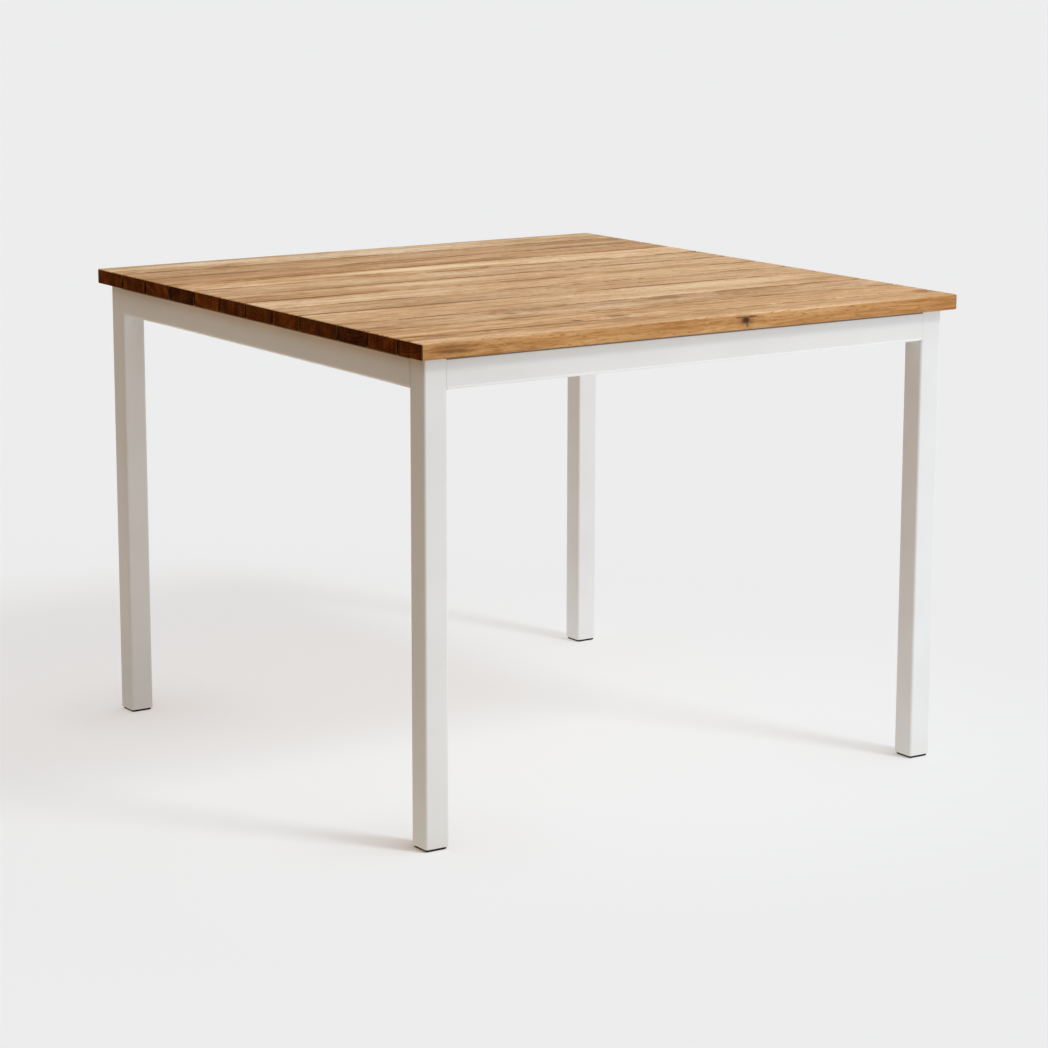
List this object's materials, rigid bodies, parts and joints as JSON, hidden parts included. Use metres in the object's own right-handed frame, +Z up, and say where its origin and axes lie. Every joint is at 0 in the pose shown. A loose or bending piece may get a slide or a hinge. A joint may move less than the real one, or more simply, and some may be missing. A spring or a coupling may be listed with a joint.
{
  "type": "bistro table",
  "caption": "Nearly square outdoor bistro table with a slatted wooden top on a white square-tube frame, straight corner legs, flush aprons and black floor glides.",
  "frame": {"origin": "on the floor under the middle of the table top", "axes": "+X along the slats to the right, +Y from the narrow front slat to the back slat, +Z up"},
  "size_m": [0.985, 1.02, 0.75],
  "materials": {
    "wood": "oiled hardwood, honey brown, straight grain along each slat, satin",
    "white_coat": "satin off-white powder coat",
    "black_plastic": "moulded black plastic, fine texture",
    "zinc_steel": "bright zinc-plated steel"
  },
  "bodies": {
    "root": {"slat_01": "wood", "slat_02": "wood", "slat_03": "wood", "slat_04": "wood", "slat_05": "wood", "slat_06": "wood", "slat_07": "wood", "slat_08": "wood", "slat_09": "wood", "slat_10": "wood", "slat_11": "wood", "slat_12": "wood", "cross_bar_left": "white_coat", "slat_screw_left_01": "zinc_steel", "slat_screw_left_02": "zinc_steel", "slat_screw_left_03": "zinc_steel", "slat_screw_left_04": "zinc_steel", "slat_screw_left_05": "zinc_steel", "slat_screw_left_06": "zinc_steel", "slat_screw_left_07": "zinc_steel", "slat_screw_left_08": "zinc_steel", "slat_screw_left_09": "zinc_steel", "slat_screw_left_10": "zinc_steel", "slat_screw_left_11": "zinc_steel", "slat_screw_left_12": "zinc_steel", "cross_bar_right": "white_coat", "slat_screw_right_01": "zinc_steel", "slat_screw_right_02": "zinc_steel", "slat_screw_right_03": "zinc_steel", "slat_screw_right_04": "zinc_steel", "slat_screw_right_05": "zinc_steel", "slat_screw_right_06": "zinc_steel", "slat_screw_right_07": "zinc_steel", "slat_screw_right_08": "zinc_steel", "slat_screw_right_09": "zinc_steel", "slat_screw_right_10": "zinc_steel", "slat_screw_right_11": "zinc_steel", "slat_screw_right_12": "zinc_steel", "apron_left": "white_coat", "apron_right": "white_coat", "apron_front": "white_coat", "apron_back": "white_coat", "leg_front_left": "white_coat", "glide_front_left": "black_plastic", "corner_plate_front_left": "zinc_steel", "leg_bolt_front_left": "zinc_steel", "leg_front_right": "white_coat", "glide_front_right": "black_plastic", "corner_plate_front_right": "zinc_steel", "leg_bolt_front_right": "zinc_steel", "leg_back_right": "white_coat", "glide_back_right": "black_plastic", "corner_plate_back_right": "zinc_steel", "leg_bolt_back_right": "zinc_steel", "leg_back_left": "white_coat", "glide_back_left": "black_plastic", "corner_plate_back_left": "zinc_steel", "leg_bolt_back_left": "zinc_steel"}
  },
  "joints": []
}
